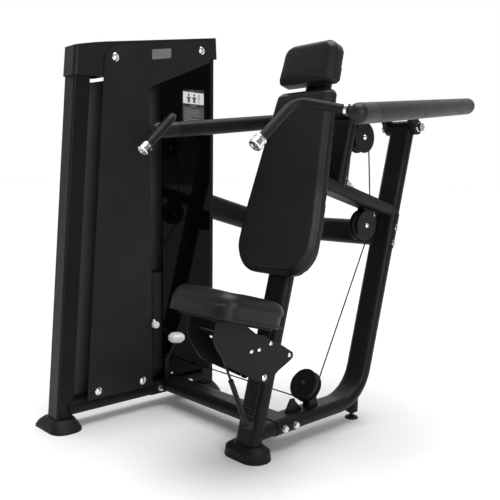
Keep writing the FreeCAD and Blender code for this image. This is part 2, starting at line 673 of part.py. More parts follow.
def make_stack():
    """Resting plates, lifted plates with head and stem, guide rods and cushions."""
    rod_lines = [Vec(TOWER_X, STACK_Y + side * ROD_OFFSET, 0) for side in (-1, 1)]
    bores = [Part.makeCylinder(ROD_DIA / 2 + 2, 900, line) for line in rod_lines]
    stem_bore = Part.makeCylinder(STEM_DIA / 2 + 1.5, 900, Vec(TOWER_X, STACK_Y, 0))
    plates = [weight_plate(i, bores, stem_bore) for i in range(PLATE_COUNT)]
    head_z = STACK_BOTTOM + PLATE_COUNT * PLATE_PITCH
    head = soft_block(TOWER_X - PLATE_X / 2, TOWER_X + PLATE_X / 2, STACK_Y - PLATE_Y / 2,
                      STACK_Y + PLATE_Y / 2, head_z, head_z + 24, 8, Z)
    head = minus(head, Part.makeCylinder(STEM_DIA / 2, 900, Vec(TOWER_X, STACK_Y, 0)),
                 *[Part.makeCylinder(17, 900, line) for line in rod_lines])
    bushes = []
    for line in rod_lines:
        bush = Part.makeCylinder(17, 24, line + Z * head_z)
        bush = bush.fuse(Part.makeCylinder(22, 8, line + Z * (head_z + 24)))
        bushes.append(bush.cut(Part.makeCylinder(ROD_DIA / 2 + 0.08, 900, line)))
    stem = Part.makeCylinder(STEM_DIA / 2, head_z + 62 - STACK_BOTTOM - 4,
                             Vec(TOWER_X, STACK_Y, STACK_BOTTOM + 4))
    for index in range(PLATE_COUNT):
        z = STACK_BOTTOM + index * PLATE_PITCH + PLATE_THICK / 2
        stem = stem.cut(rod(Vec(TOWER_X - 30, STACK_Y, z), Vec(TOWER_X + 30, STACK_Y, z),
                            PIN_DIA + 0.8))
    rods = [Part.makeCylinder(ROD_DIA / 2, 1290 - 103, line + Z * 103) for line in rod_lines]
    cushions = [Part.makeCylinder(29, STACK_BOTTOM - 104, line + Z * 103) for line in rod_lines]
    cushions = [minus(c, *rods) for c in cushions]
    return plates, head, bushes, stem, rods, cushions, head_z


def make_selector_pin(plate_index):
    z = STACK_BOTTOM + plate_index * PLATE_PITCH + PLATE_THICK / 2
    face = TOWER_X + PLATE_X / 2
    pin = rod(Vec(TOWER_X - 16, STACK_Y, z), Vec(face + 22, STACK_Y, z), PIN_DIA)
    knob = Part.makeCylinder(13, 20, Vec(face + 16, STACK_Y, z), X)
    knob = knob.makeFillet(3, [e for e in knob.Edges if e.Length > 60])
    nib = Part.makeCone(9, 3, 16, Vec(face + 26, STACK_Y - 3, z + 7), Vec(0, -0.35, 1))
    return pin, plus(knob, nib).cut(pin)


# ---- seat carriage ----------------------------------------------------------------------
CARRIAGE_OUTLINE = [(-302, 421), (-303, 364), (-234, 304), (-218, 293), (-61, 257), (-37, 251),
                    (7, 301), (50, 335), (66, 352), (57, 366), (8, 381), (-68, 398),
                    (-130, 407), (-166, 421)]
FRONT_WHEELS = [(-54, 383), (-52, 272)]
REAR_WHEEL = (45, 354)
LATCH_PIVOT = (-133, 349.5)
SPACER_AT = (-101, 358)
STRUT_X = 42.0
STRUT_LOW = (-68, 111)
STRUT_HIGH = (-250, 346)


def cross_bolt(back, up, head, x_from=-64.0, x_to=64.0, shank=8.0):
    """Through bolt in seat-post coordinates with a domed head on +X and a nut on -X."""
    line = rod(Vec(x_from, back, up), Vec(x_to, back, up), shank)
    dome = button_bolt(Vec(x_to, back, up), X, head, 4.5, head * 0.35)
    nut = hex_head(Vec(x_from, back, up), X * -1, head * 0.85, 6)
    return plus(line, dome, nut)


def carriage_plate(x0, bolts):
    plate = plate_yz(CARRIAGE_OUTLINE, x0, x0 + CARRIAGE_T)
    round_at = {(-303, 364): 55, (-218, 293): 60, (-37, 251): 10, (66, 352): 12}
    for (y, z), radius in round_at.items():
        near = [e for e in plate.Edges if abs(e.tangentAt(e.FirstParameter).x) > 0.99
                and abs(e.CenterOfMass.y - y) < 2 and abs(e.CenterOfMass.z - z) < 2]
        plate = plate.makeFillet(radius, near)
    return minus(plate, *bolts)


def make_seat_group():
    """Everything that slides on the seat post, in seat-post coordinates."""
    bolts = [cross_bolt(y, z, 15) for y, z in FRONT_WHEELS[:1] + [REAR_WHEEL, SPACER_AT]]
    bolts.append(cross_bolt(FRONT_WHEELS[1][0], FRONT_WHEELS[1][1], 22, shank=12))
    latch_bolt = cross_bolt(LATCH_PIVOT[0], LATCH_PIVOT[1], 15)
    all_bolts = bolts + [latch_bolt]
    plates = [carriage_plate(PLATE_GAP_X, all_bolts),
              carriage_plate(-PLATE_GAP_X - CARRIAGE_T, all_bolts)]
    tray = soft_block(-118, 118, -322, -106, 424.5, 430, 20, Z)
    ribs = [block(sign * 62 - 3, sign * 62 + 3, -300, -170, 421, 424.5) for sign in (-1, 1)]
    stub = rod(Vec(STRUT_X + 6, *STRUT_HIGH), Vec(PLATE_GAP_X, *STRUT_HIGH), 8)
    wheels = []
    for sign in (-1, 1):
        for y, z in FRONT_WHEELS:
            shaft = 6.0 if (y, z) == FRONT_WHEELS[1] else 4.0
            radius = -y - TUBE_THIN / 2 - 6 - GAP
            wheels.append(ring(Vec(sign * 27, y, z), X, 6, radius, shaft + 0.01))
    rear = ring(Vec(0, REAR_WHEEL[0], REAR_WHEEL[1]), X, 40, REAR_WHEEL[0] - 31 - GAP, 4.01)
    spacers = [ring(Vec(sign * 40, SPACER_AT[0], SPACER_AT[1]), X, 39.8, 8, 4.01)
               for sign in (-1, 1)]
    return plates + [tray, stub] + ribs, wheels + [rear], all_bolts, spacers


def make_latch():
    """Release lever with its pawl, in seat-post coordinates."""
    y, z = LATCH_PIVOT
    arms = []
    for sign in (-1, 1):
        arm = plate_yz([(y - 8, z - 8), (y + 8, z - 8), (y + 8, z + 8), (-268, 401), (-280, 388)],
                       sign * 14 - 2, sign * 14 + 2)
        arms.append(arm)
    hub = Part.makeCylinder(12, 36, Vec(-18, y, z), X)
    pawl = block(-8, 8, y, -TUBE_THIN / 2 - 14, z - 3.0, z + 3.0)
    body = plus(hub, pawl, *arms).cut(rod(Vec(-80, y, z), Vec(80, y, z), 8.1))
    bar = rod(Vec(-40, -274, 394), Vec(40, -274, 394), 9)
    bar = bar.fuse(rod(Vec(38, -274, 394), Vec(46, -296, 376), 9)).fuse(
        Part.makeSphere(4.5, Vec(38, -274, 394)))
    return body.cut(bar), bar


def make_rack():
    """Toothed strip on the post's front face and wear strip on its rear face."""
    face = -TUBE_THIN / 2
    base = block(-30, 30, face - 6, face, SEAT_RAIL_LOW, SEAT_RAIL_HIGH)
    ribs = []
    up = SEAT_RAIL_LOW + 4
    while up < SEAT_RAIL_HIGH - 6:
        ribs.append(block(-21, 21, face - 12, face - 5.9, up, up + 4.2))
        up += RACK_PITCH
    rack = base.fuse(ribs)
    strip = block(-18, 18, -face, -face + 6, 258, 498)
    return rack, strip


# ---- gas strut --------------------------------------------------------------------------
def strut_ends():
    low = Vec(STRUT_X, STRUT_LOW[0], STRUT_LOW[1])
    high = Vec(STRUT_X, STRUT_HIGH[0], STRUT_HIGH[1])
    return low, high, (high - low).normalize()


def make_strut():
    low, high, line = strut_ends()
    body = Part.makeCylinder(8.5, 165, low + line * 12, line)
    body = minus(body, Part.makeCylinder(4.05, 400, low + line * 24, line))
    eye = ring(low, X, 8, 9, 4.05)
    neck = rod(low + line * 7, low + line * 13, 10).cut(disc(low, X, 20, 4.05))
    cylinder = plus(body, neck, eye)
    piston = rod(low + line * 150, high - line * 8, 8)
    top_eye = ring(high, X, 9, 9, 4.05)
    shaft = plus(piston, top_eye)
    lug = plate_yz([(-TUBE_THIN / 2 + 6, STRUT_LOW[1] - 18), (-TUBE_THIN / 2 + 6,
                   STRUT_LOW[1] + 18), (STRUT_LOW[0] - 9, STRUT_LOW[1] + 9),
                   (STRUT_LOW[0] - 9, STRUT_LOW[1] - 9)], STRUT_X - 14, STRUT_X - 9.5)
    pin = rod(low - X * 14, low + X * 6, 8)
    return cylinder, shaft, lug.cut(pin), pin


# ---- pads -------------------------------------------------------------------------------
def pad_prism(outline, y0, y1, radii, bevel):
    """Padded block in seat-post coordinates: (x, z) outline of the +X half, bevelled front."""
    right = [Vec(x, y1, z) for x, z in outline]
    left = [Vec(-x, y1, z) for x, z in reversed(outline)]
    body = Part.Face(polygon(right + left)).extrude(Vec(0, y0 - y1, 0))
    for (x, z), radius in radii.items():
        near = [e for e in body.Edges if abs(e.tangentAt(e.FirstParameter).y) > 0.99
                and abs(abs(e.CenterOfMass.x) - x) < 1 and abs(e.CenterOfMass.z - z) < 1]
        body = body.makeFillet(radius, near)
    if bevel:
        body = body.makeChamfer(bevel, [e for e in body.Edges
                                        if abs(e.CenterOfMass.y - y0) < 0.5])
    return body


def make_pads():
    back = pad_prism([(124, 1238), (177, 785), (180, 602)], -80, -36,
                     {(124, 1238): 26, (180, 602): 106, (177, 785): 400}, 20)
    back_board = pad_prism([(108, 1228), (164, 785), (167, 614)], -36, -28,
                           {(108, 1228): 25, (167, 614): 90}, 0)
    head = pad_prism([(124, 1256), (114, 1402)], -92, -30,
                     {(124, 1256): 20, (114, 1402): 45}, 17)
    head_board = block(-90, 90, -30, -25, 1268, 1345)
    mounts = [block(-22, 22, -28, -25, z - 60, z + 60) for z in (700, 1120)]
    seat = soft_block(-150, 150, -355, -84, 430, 495, 60, Z)
    seat = seat.makeFillet(14, [e for e in seat.Edges if abs(e.CenterOfMass.z - 495) < 0.5])
    return back, head, seat, [back_board, head_board] + mounts


# ---- brackets ---------------------------------------------------------------------------
def make_lower_hanger(brace_outer, bolt):
    """Two cheeks hanging from the sloping brace to the lower pulley's axle."""
    gap = LOWER_PULLEY - SEAT_FRAME.Base
    y = gap.dot(BACK_LEAN)
    z = gap.dot(UP_LEAN)
    plates = []
    for x0 in (FORK_IN, -FORK_OUT):
        cheek = plate_yz([(y - 36, z + 80), (y + 36, z + 80), (y + 17, z), (y - 17, z)],
                         x0, x0 + FORK_OUT - FORK_IN)
        cheek = plus(cheek, Part.makeCylinder(18, FORK_OUT - FORK_IN, Vec(x0, y, z), X))
        plates.append(minus(seat_shape(cheek), brace_outer, bolt))
    return plates


def make_floor_bracket(base_outer, bolt):
    """Gussets and face plate that carry the skewed pulley on the base tube."""
    def at(along_axis, down):
        return FLOOR_PULLEY + FLOOR_AXIS * along_axis + DOWN_RUN * down
    face = [at(-COVER_OUT, -22), at(-COVER_OUT, 30), at(-COVER_OUT - 4, 30),
            at(-COVER_OUT - 4, -22)]
    plate = plate_yz([(p.y, p.z) for p in face], -22, 22)
    gussets = []
    for x0 in (12, -16):
        top = at(-COVER_OUT - 4, -14)
        low = at(-COVER_OUT - 4, 30)
        gussets.append(plate_yz([(top.y, top.z), (low.y, low.z), (low.y, RAIL_Z + 20),
                                 (top.y + 24, RAIL_Z + 20)], x0, x0 + 4))
    toe = plate_yz([(176, RAIL_Z), (176, 104), (203, 148), (220, 148), (224, 138), (262, 100),
                    (262, RAIL_Z)], -4, 4)
    return [minus(shape, base_outer, bolt) for shape in [plate] + gussets + [toe]]


def make_bottom_bracket(bolt):
    """Cheeks of the pulley at the foot of the tower, standing on the rail."""
    plates = []
    for y0 in (CABLE_RUN_Y + FORK_IN, CABLE_RUN_Y - FORK_OUT):
        cheek = block(BOTTOM_PULLEY.x - 16, BOTTOM_PULLEY.x + 16, y0, y0 + FORK_OUT - FORK_IN,
                      TOWER_RAIL_Z + TOWER_RAIL_THICK / 2, BOTTOM_PULLEY.z)
        cheek = plus(cheek, Part.makeCylinder(16, FORK_OUT - FORK_IN,
                                              Vec(BOTTOM_PULLEY.x, y0, BOTTOM_PULLEY.z), Y))
        plates.append(cheek.cut(bolt))
    return plates


def make_anchor():
    """Bracket, nut and bolt that hold the dead end of the cable, and where it starts."""
    base = block(-16, 16, 226, 290, 983, 988)
    riser = block(-12, 12, 232, 258, 988, 1001)
    nut = hex_head(Vec(0, 245, 1001), Z, 15, 8)
    bolt = hex_head(Vec(0, 275, 988), Z, 15, 7)
    return seat_shape(plus(base, riser)), [seat_shape(nut), seat_shape(bolt)]


def rail_tab(y, x_face, z_top, width=32.0):
    """Angle bracket on the tower's rail that holds a sheet at its inner face."""
    top = TOWER_RAIL_Z + TOWER_RAIL_THICK / 2
    return plus(block(x_face - 4, x_face, y - width / 2, y + width / 2, top, z_top),
                block(x_face - 40, x_face - 4, y - width / 2, y + width / 2, top, top + 4))


def make_tower_fixings(front_outer, screws):
    """Standoffs and tabs between the tower's frame and its sheet covers."""
    pieces = panel_standoffs() + [rail_tab(y, PANEL_X, z + 14) for y, z in PANEL_SCREWS[2:]]
    side = TOWER_POST_X / 2
    for z in (300, 1120):
        pieces.append(rod(Vec(TOWER_X + side, REAR_POST_Y - 8, z),
                          Vec(SHIELD_X, REAR_POST_Y - 8, z), 14))
        pieces.append(rod(Vec(OUTER_X, REAR_POST_Y - 8, z),
                          Vec(TOWER_X - side, REAR_POST_Y - 8, z), 14))
        front_y = FRONT_POST_Y + (z - 50) * math.tan(math.radians(FRONT_POST_LEAN)) + 12
        pieces.append(rod(Vec(OUTER_X, front_y, z), Vec(TOWER_X - side, front_y, z), 14))
    return [minus(piece, front_outer, *screws) for piece in pieces]


def make_increment_lever():
    """White-knobbed lever beside the tower, its stay and its pivot pin."""
    stay = block(-597, -593.5, 97, 117, RAIL_Z + TUBE_THIN / 2, 212)
    pin = rod(Vec(-597, 107, 200), Vec(-581, 107, 200), 8)
    boss = Part.makeCylinder(9, 9, Vec(-592, 107, 200), X)
    arm = rod(Vec(-587, 107, 200), Vec(-564, 128, 264), 9)
    knob = Part.makeCylinder(33, 34, Vec(-561, 130, 262))
    knob = knob.makeChamfer(10, [e for e in knob.Edges if e.Length > 150
                                 and abs(e.CenterOfMass.z - 279) > 16])
    knob = knob.cut(arm)
    lever = plus(boss, arm).cut(rod(Vec(-600, 107, 200), Vec(-570, 107, 200), 8.1))
    return stay.cut(pin), pin, lever, knob


# ---- build ------------------------------------------------------------------------------
os.makedirs(PARTS, exist_ok=True)

housing_block = disc(PIVOT, X, 100, 28)
post_outer, post = make_seat_post()
base_outer, base_tube = make_base_tube(post_outer, housing_block)
front_outer, front_post, rear_outer, rear_post = make_tower_posts()

rail_place = frame_at(Vec(TOWER_X, 0, TOWER_RAIL_Z), X, Y)
rail_wide = 2 * TOWER_HALF
base_place = frame_at(Vec(0, 0, RAIL_Z), X, Y)
rail_bolts = side_bolts(rail_place, (77, 222), rail_wide)
base_bolts = side_bolts(base_place, (119, 173))
mid_bolts = side_bolts(BACK_FRAME, (696, 756))
rail_saddle = nose_saddle(rail_place, 47, 247, 3, rail_bolts, rail_wide, TOWER_RAIL_THICK)
base_saddle = nose_saddle(base_place, 91, 201, 3, base_bolts)
mid_saddle = nose_saddle(BACK_FRAME, 678, 812, 3, mid_bolts)
plates, head, head_bushes, stem, rods, cushions, head_z = make_stack()
frame_bolts = rail_bolts + base_bolts + mid_bolts

rail_outer, rail = straight_tube(Vec(TOWER_X, -322, TOWER_RAIL_Z), Vec(TOWER_X, 310, TOWER_RAIL_Z),
                                 X, rail_wide, TOWER_RAIL_THICK)
rail_outer = minus(rail_outer, front_outer, rear_outer)
rail = minus(rail, front_outer, rear_outer, *rail_bolts)
cross_outer, floor_cross = straight_tube(Vec(TOWER_X, 142, RAIL_Z), Vec(0, 142, RAIL_Z), Y)
floor_cross = minus(floor_cross, rail_outer, base_outer, rail_saddle)
mid_corner = Vec(TOWER_X, 717, 705)
mid_points = [mid_corner - BACK_LEAN * 400, mid_corner, Vec(-20, 717, 705)]
mid_outer, mid_brace = bent_tube(mid_points, [170], UP_LEAN)
mid_brace = minus(mid_brace, rear_outer, base_outer)

brace_outer, brace = straight_tube(on_seat(0, 0, 958), on_seat(0, 519.7, 958), X)
brace = minus(brace, post_outer, base_outer, seat_shape(block(-9, 9, 370, 424, 900, 1000)))
stop_outer, stop_post = straight_tube(on_seat(0, 170, 958), on_seat(0, 170, 1190), X)
stop_post = minus(stop_post, brace_outer)
bumper = seat_shape(placed(oval_bar(94, 46, 1190, 1204.4),
                           FreeCAD.Placement(Vec(0, 170, 0), FreeCAD.Rotation())))

save("seat_post", post)
save("base_tube", minus(base_tube, *(base_bolts + mid_bolts)))
save("floor_cross_tube", floor_cross)
save("mid_brace", mid_brace)
save("diagonal_brace", brace)
save("stop_post", stop_post)
save("frame_joint_bolts", *frame_bolts)
save("tower_uprights", front_post, rear_post)

foot = boot([(0, 176, 108), (30, 168, 102), (46, 116, 66)], post_outer)
front_boot = tower_boot(FRONT_POST_Y, front_outer, False)
rear_boot = tower_boot(REAR_POST_Y, rear_outer, True)
save("foot_boots", foot, front_boot, rear_boot)
stub, levelling_foot = make_rear_foot(base_outer)
stub = stub.cut(levelling_foot)
save("levelling_foot", stub, levelling_foot)

rack, strip = make_rack()
cylinder, piston, strut_lug, strut_pin = make_strut()
strut_lug = minus(seat_shape(strut_lug), post_outer)
save("seat_rack", seat_shape(rack), seat_shape(strip), strut_lug, seat_shape(strut_pin))
save("strut_cylinder", seat_shape(cylinder))
save("strut_rod", seat_shape(piston))

carriage, wheels, seat_bolts, spacers = make_seat_group()
save("seat_carriage", *[seat_shape(s) for s in carriage + spacers])
save("carriage_bolts", *[seat_shape(s) for s in seat_bolts])
save("carriage_rollers", *[seat_shape(s) for s in wheels])
latch, latch_bar = make_latch()
save("seat_lever", seat_shape(latch), seat_shape(latch_bar))

back_pad, head_pad, seat_pad, boards = make_pads()
save("back_pad", seat_shape(back_pad))
save("headrest", seat_shape(head_pad))
save("seat_pad", seat_shape(seat_pad))
save("pad_boards", *[seat_shape(s) for s in boards])

lower_bolt = axle_bolt(LOWER_PULLEY, X, COVER_OUT)
floor_bolt = axle_bolt(FLOOR_PULLEY, FLOOR_AXIS, COVER_OUT)
bottom_bolt = axle_bolt(BOTTOM_PULLEY, Y, FORK_OUT)
top_bolts = [axle_bolt(c, X, 30) for c in (TOP_REAR_PULLEY, TOP_FRONT_PULLEY)]
top_spacers = [ring(c + X * (sign * 18), X, 14.8, 10, AXLE_R + 0.01)
               for c in (TOP_REAR_PULLEY, TOP_FRONT_PULLEY) for sign in (-1, 1)]
brackets = make_lower_hanger(brace_outer, lower_bolt)
brackets += covers(LOWER_PULLEY, X, COVER_R, FORK_OUT, COVER_OUT, lower_bolt)
floor_covers = covers(FLOOR_PULLEY, FLOOR_AXIS, COVER_R, FORK_IN + 1, FORK_IN + 5, floor_bolt)
floor_bracket = make_floor_bracket(base_outer, floor_bolt)
brackets += floor_bracket + floor_covers
save("frame_pulley_brackets", *brackets)
save("frame_pulley_bolts", lower_bolt, floor_bolt, bottom_bolt, *top_bolts)
save("lower_pulley", wheel(LOWER_PULLEY, X, PULLEY_R, PITCH_R))
save("floor_pulley", wheel(FLOOR_PULLEY, FLOOR_AXIS, PULLEY_R, PITCH_R))
save("tower_bottom_pulley", wheel(BOTTOM_PULLEY, Y, TOWER_PULLEY_R, TOWER_PITCH_R))
save("tower_top_rear_pulley", wheel(TOP_REAR_PULLEY, X, TOWER_PULLEY_R, TOWER_PITCH_R))
save("tower_top_front_pulley", wheel(TOP_FRONT_PULLEY, X, TOWER_PULLEY_R, TOWER_PITCH_R))
anchor, anchor_nuts = make_anchor()
save("cable_anchor", anchor, *anchor_nuts)

housing = minus(housing_block, disc(PIVOT, X, 200, 22))
bushes = [ring(PIVOT + X * (sign * 35), X, 30, 22, HINGE_R + 0.05) for sign in (-1, 1)]
shaft = plus(disc(PIVOT, X, 2 * LUG_OUT, HINGE_R), hex_head(PIVOT + X * LUG_OUT, X, 30, 18),
             hex_head(PIVOT - X * LUG_OUT, X * -1, 30, 18))
save("pivot_housing", housing, *bushes)
save("pivot_shaft", shaft)

side, handle_clear = make_arm_side()
arm_outer = plus(rod(ARM_FRONT, ARM_REAR, ARM_DIA), Part.makeSphere(ARM_DIA / 2, ARM_REAR))
bars, spine, lugs, bar_outers = make_arm_frame(arm_outer)
both = {name: [shape, mirror_x(shape)] for name, shape in side.items()}
save("arm_tubes", *both["arm_tube"])
save("arm_end_caps", *(both["arm_nose"] + both["arm_rear_cap"]))
save("arm_cross_tubes", *(bars + [spine] + lugs))
save("handle_bars", *both["handle_bar"])
save("handle_grips", *both["grip"])
save("handle_chrome", *(both["handle_collar"] + both["handle_end_cap"]))
spine_outer = rod(Vec(0, FRONT_BAR_Y, arm_point(FRONT_BAR_Y).z),
                  Vec(0, ARM_REAR.y, ARM_REAR.z), 48)
upper_bolt = axle_bolt(UPPER_PULLEY, X, COVER_OUT)
upper = make_upper_bracket(bar_outers, spine_outer, upper_bolt)
upper += covers(UPPER_PULLEY, X, COVER_R, FORK_OUT, COVER_OUT, upper_bolt)
save("upper_pulley_bracket", upper_bolt, *upper)
save("upper_pulley", wheel(UPPER_PULLEY, X, PULLEY_R, PITCH_R))

over = wrap(UPPER_PULLEY, BETWEEN_SIDE, Z, PITCH_R)
save("cable_upper_wrap", over.fuse(wrap(UPPER_PULLEY, Z, ANCHOR_SIDE, PITCH_R)))
save("cable_anchor_strand", rod(ANCHOR, UPPER_PULLEY + ANCHOR_SIDE * PITCH_R, CABLE_DIA))
save("cable_pull_strand", rod(LOWER_PULLEY + BETWEEN_SIDE * PITCH_R,
                              UPPER_PULLEY + BETWEEN_SIDE * PITCH_R, CABLE_DIA))
save("cable_main", make_main_cable())

screws = panel_screws()
side_panel = make_side_panel(screws)
outer_panel = plate_yz([(-345, 60), (345, 60), (345, 1380), (-160, 1262), (-255, 1262)],
                       OUTER_X - 3, OUTER_X)
shield = plate_yz([(94, 112), (334, 112), (334, 1384), (94, 1290)], SHIELD_X, SHIELD_X + 5)
cable_hole = rod(Vec(-620, CABLE_RUN_Y, CABLE_RUN_Z), Vec(-590, CABLE_RUN_Y, CABLE_RUN_Z), 16)
shield_screw = button_bolt(Vec(SHIELD_X + 5, 136, 123), X, 12, 3.5, 4, 9, 5)
shield_tab = rail_tab(136, SHIELD_X, 134, 28)
fixings = make_tower_fixings(front_outer, screws)
shield_tab = minus(shield_tab, shield_screw, *(cushions + rods))
fixings = [minus(piece, *(cushions + rods)) for piece in fixings]
bottom_bracket = make_bottom_bracket(bottom_bolt)
rail_saddle = minus(rail_saddle, shield_tab, *(cushions + rods + fixings + bottom_bracket))
save("joint_saddles", rail_saddle, minus(base_saddle, *floor_bracket),
     minus(mid_saddle, brace_outer))
beam = make_top_beam(front_outer, rear_outer, top_bolts)
beam = [minus(b, *fixings) for b in beam]
save("side_panels", side_panel, outer_panel)
save("shield", minus(shield, cable_hole, shield_screw))
save("panel_screws", shield_screw, *screws)
save("tower_cap", make_cap())
save("tower_top_beam", *(beam + fixings + [shield_tab] + bottom_bracket + top_spacers))
save("name_plate", plate_yz([(43, 1360), (132, 1377), (132, 1413), (43, 1397)],
                            PANEL_X + 3, PANEL_X + 4.2, 5))
save("placard", plate_yz([(191, 1088), (302, 1091), (302, 1272), (191, 1263)],
                         SHIELD_X + 5, SHIELD_X + 6.4, 3))

save("guide_rods", *rods)
save("resting_plates", *plates[:PLATES_RESTING])
save("lifted_plates", *plates[PLATES_RESTING:])
ferrule = Part.makeCylinder(7, 26, Vec(TOWER_X, STACK_Y, head_z + 62))
save("stack_head", head, plus(stem, ferrule), *head_bushes)
save("rubber_buffers", bumper, *cushions)
pin, pin_knob = make_selector_pin(PLATES_RESTING)
save("selector_pin", pin, pin_knob)
save("cable_stack_strand", rod(Vec(TOWER_X, STACK_Y, head_z + 88),
                               Vec(TOWER_X, STACK_Y, TOP_PULLEY_Z), CABLE_DIA))
stay, stay_pin, lever, lever_knob = make_increment_lever()
save("tower_base_rail", rail, stay, stay_pin)
save("increment_lever", lever, lever_knob)
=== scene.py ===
import json
import math

import bmesh
import bpy
import numpy as np
from mathutils import Matrix, Vector


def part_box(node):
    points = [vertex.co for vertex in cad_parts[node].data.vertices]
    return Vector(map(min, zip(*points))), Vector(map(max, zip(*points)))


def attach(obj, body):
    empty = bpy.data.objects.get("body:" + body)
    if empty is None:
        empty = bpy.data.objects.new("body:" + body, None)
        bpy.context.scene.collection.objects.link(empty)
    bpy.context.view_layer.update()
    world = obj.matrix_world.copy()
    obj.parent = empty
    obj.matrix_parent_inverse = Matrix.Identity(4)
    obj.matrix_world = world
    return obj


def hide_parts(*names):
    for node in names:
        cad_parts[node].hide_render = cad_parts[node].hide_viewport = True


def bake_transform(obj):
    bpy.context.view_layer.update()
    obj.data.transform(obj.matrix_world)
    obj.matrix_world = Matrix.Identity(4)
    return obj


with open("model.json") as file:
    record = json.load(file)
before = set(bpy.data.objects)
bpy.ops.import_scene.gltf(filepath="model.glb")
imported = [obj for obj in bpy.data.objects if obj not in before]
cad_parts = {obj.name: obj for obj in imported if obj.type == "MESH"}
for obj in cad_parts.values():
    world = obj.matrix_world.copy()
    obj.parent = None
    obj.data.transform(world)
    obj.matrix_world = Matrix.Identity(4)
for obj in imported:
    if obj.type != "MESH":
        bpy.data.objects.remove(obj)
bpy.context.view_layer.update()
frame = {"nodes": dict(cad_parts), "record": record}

nodes = frame["nodes"]
scene = bpy.context.scene
LEAN = math.radians(15)


# ---- materials --------------------------------------------------------------------------
def material(name, colour, rough, metallic=0.0, specular=0.5, grain=900.0, depth=0.05,
             mottle=0.12, rough_change=0.06, pebble=False, coat=0.0, stretch=None):
    """Colour drifts slowly over the surface, grain sets the bump, and a separate noise varies the
    roughness.
    """
    mat = bpy.data.materials.new(name)
    mat.use_nodes = True
    tree = mat.node_tree
    shader = tree.nodes["Principled BSDF"]
    shader.inputs["Metallic"].default_value = metallic
    shader.inputs["Specular IOR Level"].default_value = specular
    shader.inputs["Coat Weight"].default_value = coat
    shader.inputs["Coat Roughness"].default_value = 0.18
    place = tree.nodes.new("ShaderNodeTexCoord").outputs["Object"]
    if stretch:
        mapping = tree.nodes.new("ShaderNodeMapping")
        mapping.inputs["Scale"].default_value = stretch
        tree.links.new(place, mapping.inputs["Vector"])
        place = mapping.outputs["Vector"]

    def noise(scale, detail):
        node = tree.nodes.new("ShaderNodeTexNoise")
        node.inputs["Scale"].default_value = scale
        node.inputs["Detail"].default_value = detail
        tree.links.new(place, node.inputs["Vector"])
        return node.outputs["Fac"]

    drift = tree.nodes.new("ShaderNodeMapRange")
    drift.inputs["From Min"].default_value = 0.3
    drift.inputs["From Max"].default_value = 0.7
    tree.links.new(noise(7.0, 4.0), drift.inputs["Value"])
    mix = tree.nodes.new("ShaderNodeMix")
    mix.data_type = "RGBA"
    mix.inputs[6].default_value = (*[c * (1 - mottle) for c in colour], 1)
    mix.inputs[7].default_value = (*[min(1, c * (1 + mottle)) for c in colour], 1)
    tree.links.new(drift.outputs["Result"], mix.inputs[0])
    tree.links.new(mix.outputs[2], shader.inputs["Base Color"])

    if pebble:
        cells = tree.nodes.new("ShaderNodeTexVoronoi")
        cells.feature = "SMOOTH_F1"
        cells.inputs["Scale"].default_value = grain
        tree.links.new(place, cells.inputs["Vector"])
        height = cells.outputs["Distance"]
    else:
        height = noise(grain, 3.0)
    bump = tree.nodes.new("ShaderNodeBump")
    bump.inputs["Strength"].default_value = depth
    bump.inputs["Distance"].default_value = 0.0006
    tree.links.new(height, bump.inputs["Height"])
    tree.links.new(bump.outputs["Normal"], shader.inputs["Normal"])
    spread = tree.nodes.new("ShaderNodeMapRange")
    spread.inputs["From Min"].default_value = 0.3
    spread.inputs["From Max"].default_value = 0.7
    spread.inputs["To Min"].default_value = max(0.02, rough - rough_change)
    spread.inputs["To Max"].default_value = rough + rough_change
    tree.links.new(noise(40.0, 5.0), spread.inputs["Value"])
    tree.links.new(spread.outputs["Result"], shader.inputs["Roughness"])
    return mat


